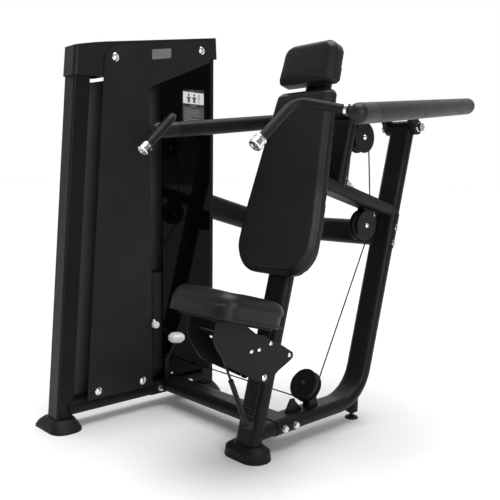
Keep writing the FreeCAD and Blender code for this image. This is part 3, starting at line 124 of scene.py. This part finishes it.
LOOKS = {
    "frame_paint": material("powder_coat", (0.0062, 0.0063, 0.0065), 0.40, specular=0.16,
                            grain=1400, depth=0.22),
    "panel_paint": material("panel_coat", (0.0145, 0.0147, 0.0151), 0.42, specular=0.15,
                            grain=1500, depth=0.2),
    # Painted light: a lighter copy of the black panel paint, for the far side panel's faces that
    # lie in shade.
    "painted_light_panel": material("panel_coat_painted_light", (0.06, 0.06, 0.061), 0.5, specular=0.2, grain=1500,
                      depth=0.2),
    "chrome": material("chrome_plate", (0.80, 0.81, 0.82), 0.10, 1.0, grain=300, depth=0.02,
                       mottle=0.03, rough_change=0.03),
    "steel": material("zinc_steel", (0.50, 0.50, 0.51), 0.28, 1.0, grain=700, depth=0.05),
    "vinyl": material("upholstery_vinyl", (0.0085, 0.0086, 0.0090), 0.40, specular=0.20,
                      grain=850, depth=0.25, pebble=True, coat=0.05),
    "board": material("backing_board", (0.006, 0.006, 0.0062), 0.6, specular=0.12, grain=500,
                      depth=0.2),
    "cable_sheath": material("cable_sheath", (0.007, 0.007, 0.007), 0.32, specular=0.3,
                             grain=900, depth=0.1),
    "pulley_plastic": material("pulley_nylon", (0.007, 0.007, 0.007), 0.45, specular=0.16,
                               grain=600, depth=0.12),
    "rubber": material("moulded_rubber", (0.0062, 0.0062, 0.0064), 0.5, specular=0.18,
                       grain=1100, depth=0.3),
    "grip": material("foam_grip", (0.0065, 0.0065, 0.0067), 0.52, specular=0.2, grain=1800,
                     depth=0.4, pebble=True),
    "cap_plastic": material("cap_plastic", (0.0115, 0.0116, 0.012), 0.38, specular=0.2,
                            grain=1300, depth=0.16),
    "acrylic": material("tinted_acrylic", (0.0014, 0.0014, 0.0015), 0.04, specular=0.07,
                        grain=20, depth=0.01, rough_change=0.02),
    "placard_print": material("placard_card", (0.02, 0.02, 0.02), 0.45, grain=500, depth=0.05),
    "plate_metal": material("name_plate_metal", (0.5, 0.5, 0.51), 0.3, 1.0, grain=250,
                            depth=0.1, mottle=0.2, stretch=(1, 0.05, 1)),
    "stack_iron": material("stack_iron", (0.007, 0.007, 0.0072), 0.5, specular=0.2,
                           grain=500, depth=0.3),
    "rack_steel": material("rack_steel", (0.010, 0.010, 0.0103), 0.42, specular=0.25, grain=700,
                           depth=0.15),
    "strut_paint": material("strut_paint", (0.0065, 0.0065, 0.0065), 0.34, specular=0.2,
                            grain=900, depth=0.08),
    "white_plastic": material("white_knob", (0.84, 0.84, 0.83), 0.25, grain=300, depth=0.03,
                              mottle=0.02),
}
for part in frame["record"]["subparts"]:
    data = nodes[part["node"]].data
    data.materials.clear()
    data.materials.append(LOOKS[part["material_slot"]])


def two_tone(node, other, picks_other):
    """Gives a second material to the faces of a CAD node that picks_other says."""
    data = nodes[node].data
    data.materials.append(LOOKS[other])
    for face in data.polygons:
        if picks_other(face.center):
            face.material_index = 1


KNOB_BACK_X = -0.5925
LEVER_KNOB_Z = 0.2619
FOOT_STUB_Z = 0.0285
LEVER_HOOK_X = 0.0375
BOLT_HEAD_X = 0.0205
TOWER_EDGE_X = -0.1
PANEL_INSIDE_X = -0.6885
COVER_FACE_X = 0.0211
BUSH_END_X, BUSH_R = 0.0495, 0.0225
HINGE_Y, HINGE_Z = 0.833, 1.12
two_tone("selector_pin", "chrome", lambda p: p.x < KNOB_BACK_X)
two_tone("increment_lever", "strut_paint", lambda p: p.z < LEVER_KNOB_Z)
two_tone("levelling_foot", "frame_paint", lambda p: p.z > FOOT_STUB_Z)
two_tone("seat_lever", "chrome", lambda p: p.x > LEVER_HOOK_X)
two_tone("frame_pulley_bolts", "strut_paint",
         lambda p: abs(p.x) < BOLT_HEAD_X or p.x < TOWER_EDGE_X)
two_tone("strut_rod", "strut_paint", lambda p: True)
# Painted light: these side panel faces get the lightened panel paint in place of light that does
# not reach them.
two_tone("side_panels", "painted_light_panel", lambda p: p.x < PANEL_INSIDE_X)
two_tone("upper_pulley_bracket", "chrome", lambda p: abs(p.x) > COVER_FACE_X)
two_tone("pivot_housing", "steel", lambda p: abs(p.x) > BUSH_END_X
         and (p.y - HINGE_Y) ** 2 + (p.z - HINGE_Z) ** 2 < BUSH_R ** 2)


# ---- small builders ---------------------------------------------------------------------
def new_object(name, mesh, slot, body):
    piece = bpy.data.objects.new(name, mesh)
    scene.collection.objects.link(piece)
    mesh.materials.clear()
    mesh.materials.append(LOOKS[slot])
    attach(piece, body)
    return piece


def applied(piece):
    """A new mesh with the piece's modifiers worked in."""
    graph = bpy.context.evaluated_depsgraph_get()
    graph.update()
    return bpy.data.meshes.new_from_object(piece.evaluated_get(graph))


def smooth(mesh):
    for face in mesh.polygons:
        face.use_smooth = True


def ease(value, low, high):
    t = min(1.0, max(0.0, (value - low) / (high - low)))
    return t * t * (3 - 2 * t)


def to_seat(p):
    """Row frame to the seat post's own directions: across, backwards, along the post."""
    return Vector((p.x, p.y * math.cos(LEAN) - p.z * math.sin(LEAN),
                   p.y * math.sin(LEAN) + p.z * math.cos(LEAN)))


def from_seat(p):
    return Vector((p.x, p.y * math.cos(LEAN) + p.z * math.sin(LEAN),
                   -p.y * math.sin(LEAN) + p.z * math.cos(LEAN)))


# ---- pads -------------------------------------------------------------------------------
PRESSURE = 4.0
LAST_FRAME = 20
EVENING_PASSES = 25


def stuffed(node, name, body, shrink, voxel, cap, held, shape=None):
    """A stuffed piece swollen by cloth simulation from the node's own outline."""
    mesh = nodes[node].data.copy()
    work = bmesh.new()
    work.from_mesh(mesh)
    bmesh.ops.remove_doubles(work, verts=work.verts, dist=1e-5)
    work.to_mesh(mesh)
    work.free()
    draft = bpy.data.objects.new(name + "_draft", mesh)
    scene.collection.objects.link(draft)
    cells = draft.modifiers.new("cells", "REMESH")
    cells.mode = "VOXEL"
    cells.voxel_size = voxel
    mesh = applied(draft)
    draft.modifiers.clear()
    draft.data = mesh
    normals = [v.normal.copy() for v in mesh.vertices]
    for v, normal in zip(mesh.vertices, normals):
        v.co -= normal * shrink
        if shape:
            v.co = shape(v.co, normal)
    start = [v.co.copy() for v in mesh.vertices]
    cloth = draft.modifiers.new("cloth", "CLOTH")
    cloth.settings.quality = 4
    cloth.settings.use_pressure = True
    cloth.settings.uniform_pressure_force = PRESSURE
    cloth.settings.effector_weights.gravity = 0.0
    cloth.collision_settings.use_collision = False
    for step in range(1, LAST_FRAME + 1):
        scene.frame_set(step)
    swollen = applied(draft)
    draft.modifiers.clear()
    rise = [(b.co - a).dot(n) for a, b, n in zip(start, swollen.vertices, normals)]
    for v, a, n, up_by in zip(mesh.vertices, start, normals, evened(mesh, rise, cap)):
        v.co = a + n * (up_by * (1 - held(a)))
    scene.frame_set(1)
    finer = draft.modifiers.new("finer", "SUBSURF")
    finer.levels = 1
    finer.render_levels = 1
    final = applied(draft)
    bpy.data.objects.remove(draft)
    smooth(final)
    piece = new_object(name, final, "vinyl", body)
    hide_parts(node)


def evened(mesh, rise, cap):
    """The swelling of each point, averaged with its neighbours so that no wrinkle stays."""
    values = np.clip(np.array(rise), 0, cap)
    ends = np.empty(len(mesh.edges) * 2, int)
    mesh.edges.foreach_get("vertices", ends)
    a, b = ends[0::2], ends[1::2]
    count = np.bincount(ends, minlength=len(values))
    for _ in range(EVENING_PASSES):
        total = np.bincount(a, values[b], len(values)) + np.bincount(b, values[a], len(values))
        values = 0.4 * values + 0.6 * total / np.maximum(count, 1)
    return values


def rear_held(p):
    """1 against the backing board behind the pad, 0 a little in front of it."""
    return 1 - ease(-to_seat(p).y, 0.040, 0.052)


def base_held(p):
    """1 against the board under the seat, 0 a little above it."""
    return 1 - ease(to_seat(p).z, 0.432, 0.446)


SEAT_HALF = 0.150
SEAT_FRONT, SEAT_REAR = -0.355, -0.084
SEAT_CORNER = 0.060


def rim_distance(x, y):
    """How far a point lies inside the seat's rounded outline."""
    middle = (SEAT_FRONT + SEAT_REAR) / 2
    half = (SEAT_REAR - SEAT_FRONT) / 2
    dx = abs(x) - (SEAT_HALF - SEAT_CORNER)
    dy = abs(y - middle) - (half - SEAT_CORNER)
    outside = math.hypot(max(dx, 0), max(dy, 0)) + min(max(dx, dy), 0)
    return SEAT_CORNER - outside


SEAT_BASE, SEAT_TOP = 0.430, 0.513
CAD_SEAT_TOP = 0.495
ROLL_R = 0.040
DISH_DEPTH = 0.022


def dished(co, normal):
    """Rolls the seat's top edge over to a raised rim and sinks the middle inside it."""
    p = to_seat(co)
    share = (p.z - SEAT_BASE) / (CAD_SEAT_TOP - SEAT_BASE)
    p.z = SEAT_BASE + share * (SEAT_TOP - SEAT_BASE)
    inside = rim_distance(p.x, p.y)
    step = 1e-4
    slope = Vector(((rim_distance(p.x + step, p.y) - inside) / step,
                    (rim_distance(p.x, p.y + step) - inside) / step, 0))
    centre_z = SEAT_TOP - ROLL_R
    if p.z > centre_z and inside < ROLL_R:
        reach = math.hypot(ROLL_R - inside, p.z - centre_z)
        if reach > 1e-6:
            rolled = ROLL_R - (ROLL_R - inside) * ROLL_R / reach
            p += slope * (rolled - inside)
            p.z = centre_z + (p.z - centre_z) * ROLL_R / reach
            inside = rolled
    upper = ease(p.z, SEAT_TOP - 0.03, SEAT_TOP - 0.004)
    p.z -= upper * DISH_DEPTH * ease(inside, 0.030, 0.085)
    return from_seat(p)


stuffed("back_pad", "back_cushion", "frame", 0.0022, 0.005, 0.0035, rear_held)
stuffed("headrest", "head_cushion", "frame", 0.0022, 0.005, 0.0035, rear_held)
stuffed("seat_pad", "seat_cushion", "seat_carriage", 0.0025, 0.0045, 0.004, base_held,
        dished)


def piping(name, points, body, radius=0.0016):
    """A closed sewn edge that follows the given points."""
    curve = bpy.data.curves.new(name, "CURVE")
    curve.dimensions = "3D"
    curve.bevel_depth = radius
    curve.bevel_resolution = 3
    line = curve.splines.new("POLY")
    line.points.add(len(points) - 1)
    for spot, p in zip(line.points, points):
        spot.co = (*p, 1)
    line.use_cyclic_u = True
    draft = bpy.data.objects.new(name + "_draft", curve)
    scene.collection.objects.link(draft)
    mesh = applied(draft)
    bpy.data.objects.remove(draft)
    smooth(mesh)
    return new_object(name, mesh, "vinyl", body)


def seat_outline(level, inset):
    """Points round the seat, at a level and a distance inside its outline."""
    points = []
    middle = (SEAT_FRONT + SEAT_REAR) / 2
    half = (SEAT_REAR - SEAT_FRONT) / 2
    radius = SEAT_CORNER - inset
    for corner, (sx, sy) in enumerate([(1, 1), (-1, 1), (-1, -1), (1, -1)]):
        for step in range(13):
            angle = math.radians(90 * corner + 90 * step / 12)
            x = sx * (SEAT_HALF - SEAT_CORNER) + radius * math.cos(angle)
            y = middle + sy * (half - SEAT_CORNER) + radius * math.sin(angle)
            points.append(from_seat(Vector((x, y, level))))
    return points


piping("seat_welt", seat_outline(0.4385, -0.0005), "seat_carriage")


# ---- cables between bodies -----------------------------------------------------------------
CABLE_R = 0.0025


def strand(name, node, low, high):
    """A straight cable between two bodies, cut finely along its length."""
    low, high = Vector(low), Vector(high)
    line = high - low
    turn = line.to_track_quat("Z", "Y").to_matrix().to_4x4()
    work = bmesh.new()
    rings, sides = 48, 14
    grid = []
    for i in range(rings + 1):
        ring = []
        for j in range(sides):
            angle = 2 * math.pi * j / sides
            spot = Vector((CABLE_R * math.cos(angle), CABLE_R * math.sin(angle),
                           line.length * i / rings))
            ring.append(work.verts.new(low + turn @ spot))
        grid.append(ring)
    for a, b in zip(grid, grid[1:]):
        for j in range(sides):
            k = (j + 1) % sides
            work.faces.new((a[j], a[k], b[k], b[j]))
    work.faces.new(list(reversed(grid[0])))
    work.faces.new(grid[-1])
    mesh = bpy.data.meshes.new(name)
    work.to_mesh(mesh)
    work.free()
    smooth(mesh)
    piece = bpy.data.objects.new(name, mesh)
    scene.collection.objects.link(piece)
    mesh.materials.append(LOOKS["cable_sheath"])
    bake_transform(piece)
    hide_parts(node)


PULLEY_PITCH = 0.048
anchor = Vector((0, 0.490, 0.913))
upper = Vector((0, 0.562, 1.069))
lower = Vector((0, 0.588, 0.742))
to_anchor = anchor - upper
lean_off = math.acos(PULLEY_PITCH / to_anchor.length)
front_side = Matrix.Rotation(-lean_off, 3, "X") @ to_anchor.normalized()
along = (upper - lower).normalized()
rear_side = Vector((0, along.z, -along.y))
strand("anchor_strand", "cable_anchor_strand", anchor, upper + front_side * PULLEY_PITCH)
strand("pull_strand", "cable_pull_strand", lower + rear_side * PULLEY_PITCH,
       upper + rear_side * PULLEY_PITCH)
head_low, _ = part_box("cable_stack_strand")
STACK_X, STACK_Y, TOP_PULLEY_Z = -0.644, 0.044, 1.322
strand("stack_strand", "cable_stack_strand", (STACK_X, STACK_Y, head_low[2]),
       (STACK_X, STACK_Y, TOP_PULLEY_Z))


# ---- placard ----------------------------------------------------------------------------
INK = {
    "white": material("print_white", (0.80, 0.80, 0.80), 0.4, grain=300, depth=0.03, mottle=0.03),
    "grey": material("print_grey", (0.075, 0.075, 0.077), 0.4, grain=300, depth=0.03),
    "pale": material("print_pale", (0.35, 0.35, 0.35), 0.4, grain=300, depth=0.03),
}


WHITE, GREY, PALE = range(3)
PRINT_THICK = 0.0002


def flat_shape(work, outline, x, index):
    """A thin raised print on the placard, from an outline in Y and Z."""
    back_ring = [work.verts.new((x, y, z)) for y, z in outline]
    front_ring = [work.verts.new((x + PRINT_THICK, y, z)) for y, z in outline]
    faces = [work.faces.new(front_ring)]
    faces.append(work.faces.new(list(reversed(back_ring))))
    count = len(outline)
    for i in range(count):
        j = (i + 1) % count
        faces.append(work.faces.new((back_ring[i], back_ring[j], front_ring[j], front_ring[i])))
    for face in faces:
        face.material_index = index


def band(y0, y1, z0, z1):
    return [(y0, z0), (y1, z0), (y1, z1), (y0, z1)]


def oval(y, z, ry, rz, count=20):
    angles = [2 * math.pi * i / count for i in range(count)]
    return [(y + ry * math.cos(a), z + rz * math.sin(a)) for a in angles]


def print_figure(work, x, y, middle):
    """A standing figure: a head above a body that narrows to the waist."""
    flat_shape(work, oval(y, middle + 0.012, 0.0042, 0.0052), x, GREY)
    body = [(y - 0.011, middle + 0.004), (y + 0.011, middle + 0.004),
            (y + 0.005, middle - 0.008), (y + 0.006, middle - 0.018),
            (y - 0.006, middle - 0.018), (y - 0.005, middle - 0.008)]
    flat_shape(work, body, x, GREY)


def print_bars(work, x, y0, y1, top):
    """Plain bars in place of lines of text, ragged at the right."""
    pitch, height, margin = 0.0072, 0.0016, 0.006
    widths = (0.35, 0.8, 0.86, 0.7, 0.9, 0.4, 0.82, 0.76, 0.88, 0.6, 0.84, 0.5)
    for i, share in enumerate(widths):
        z = top - pitch * i
        start = y0 + margin
        flat_shape(work, band(start, start + share * (y1 - y0 - 2 * margin), z - height, z),
                   x, PALE)


def placard_print():
    low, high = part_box("placard")
    x = high[0] + 0.00005
    y0, y1 = low[1] + 0.003, high[1] - 0.003
    z0 = low[2] + 0.001
    work = bmesh.new()
    flat_shape(work, band(y0, y1, z0 + 0.122, z0 + 0.168), x, WHITE)
    flat_shape(work, band(y0, y1, z0 + 0.016, z0 + 0.110), x, GREY)
    flat_shape(work, band(y0, y1, z0 + 0.001, z0 + 0.007), x, WHITE)
    title_y = y0 + 0.034
    for i, width in enumerate((0.020, 0.034)):
        title_z = z0 + 0.1715 - i * 0.0575
        flat_shape(work, band(title_y, title_y + width, title_z, title_z + 0.002), x, PALE)
    above = x + PRINT_THICK
    print_bars(work, above, y0, y1, z0 + 0.105)
    middle = z0 + 0.145
    for y in (y0 + 0.028, y0 + 0.056):
        print_figure(work, above, y, middle)
    mark_y = y0 + 0.080
    flat_shape(work, band(mark_y - 0.002, mark_y + 0.002, middle - 0.008, middle + 0.017),
               above, GREY)
    flat_shape(work, oval(mark_y, middle - 0.014, 0.0025, 0.003), above, GREY)
    mesh = bpy.data.meshes.new("placard_print")
    bmesh.ops.recalc_face_normals(work, faces=work.faces)
    work.to_mesh(mesh)
    work.free()
    piece = bpy.data.objects.new("placard_print", mesh)
    scene.collection.objects.link(piece)
    for ink in ("white", "grey", "pale"):
        mesh.materials.append(INK[ink])
    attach(piece, "frame")


placard_print()


# ---- stage ------------------------------------------------------------------------------
AZIMUTH, ELEVATION, ROLL = (math.radians(a) for a in (46.78, 5.72, 0.53))
FLOOR_Z = -0.0002


def plane(name, size, colour):
    mesh = bpy.data.meshes.new(name)
    half = size / 2
    corners = [(-half, -half), (half, -half), (half, half), (-half, half)]
    mesh.from_pydata([(x, y, FLOOR_Z) for x, y in corners], [], [(0, 1, 2, 3)])
    piece = bpy.data.objects.new(name, mesh)
    scene.collection.objects.link(piece)
    mesh.materials.append(material(name + "_finish", colour, 0.85, specular=0.1, grain=60,
                                   depth=0.02, mottle=0.01))


plane("floor", 400.0, (0.72, 0.72, 0.72))


def aimed(ob, place, target):
    ob.location = place
    ob.rotation_mode = "QUATERNION"
    ob.rotation_quaternion = (Vector(target) - Vector(place)).to_track_quat("-Z", "Y")


def soft_box(name, place, target, size, power):
    data = bpy.data.lights.new(name, "AREA")
    data.shape = "RECTANGLE"
    data.size, data.size_y = size
    data.energy = power
    ob = bpy.data.objects.new(name, data)
    scene.collection.objects.link(ob)
    aimed(ob, place, target)


sun = bpy.data.lights.new("overhead", "SUN")
sun.energy = 3.3
sun.angle = math.radians(50)
sun_ob = bpy.data.objects.new("overhead", sun)
scene.collection.objects.link(sun_ob)
aimed(sun_ob, (0.0, 0.2, 4.0), (0.0, 0.1, 0.0))
soft_box("key", (3.4, -1.2, 1.9), (-0.1, 0.2, 0.8), (1.6, 2.2), 60)
soft_box("fill", (-1.6, -3.6, 2.2), (-0.3, 0.1, 0.7), (1.6, 1.6), 2)

# The world is brightest beyond the object, as seen from the front right.
world = bpy.data.worlds.new("studio")
world.use_nodes = True
tree = world.node_tree
tree.nodes["Background"].inputs["Color"].default_value = (1, 1, 1, 1)
direction = tree.nodes.new("ShaderNodeTexCoord")
towards = tree.nodes.new("ShaderNodeVectorMath")
towards.operation = "DOT_PRODUCT"
towards.inputs[1].default_value = (-math.sin(AZIMUTH), math.cos(AZIMUTH), 0.0)
bright = tree.nodes.new("ShaderNodeMapRange")
bright.inputs["From Min"].default_value = 0.05
bright.inputs["From Max"].default_value = 0.65
bright.inputs["To Min"].default_value = 0.28
bright.inputs["To Max"].default_value = 1.0
tree.links.new(direction.outputs["Generated"], towards.inputs[0])
tree.links.new(towards.outputs["Value"], bright.inputs["Value"])
tree.links.new(bright.outputs["Result"], tree.nodes["Background"].inputs["Strength"])
scene.world = world
scene.view_settings.view_transform = "Standard"
scene.view_settings.look = "None"


# ---- camera -----------------------------------------------------------------------------
ahead = Vector((-math.sin(AZIMUTH) * math.cos(ELEVATION),
                math.cos(AZIMUTH) * math.cos(ELEVATION), -math.sin(ELEVATION)))
level = Vector((math.cos(AZIMUTH), math.sin(AZIMUTH), 0))
up = level.cross(ahead)
right = level * math.cos(ROLL) + up * math.sin(ROLL)
up = up * math.cos(ROLL) - level * math.sin(ROLL)
CAMERA_PLACE = (1.5443, -1.4485, 0.8958)
camera_data = bpy.data.cameras.new("camera")
camera_data.lens = 47.88
camera_data.sensor_width = 36.0
camera = bpy.data.objects.new("camera", camera_data)
scene.collection.objects.link(camera)
turn = Matrix((right, up, -ahead)).transposed().to_4x4()
camera.matrix_world = Matrix.Translation(CAMERA_PLACE) @ turn
scene.camera = camera
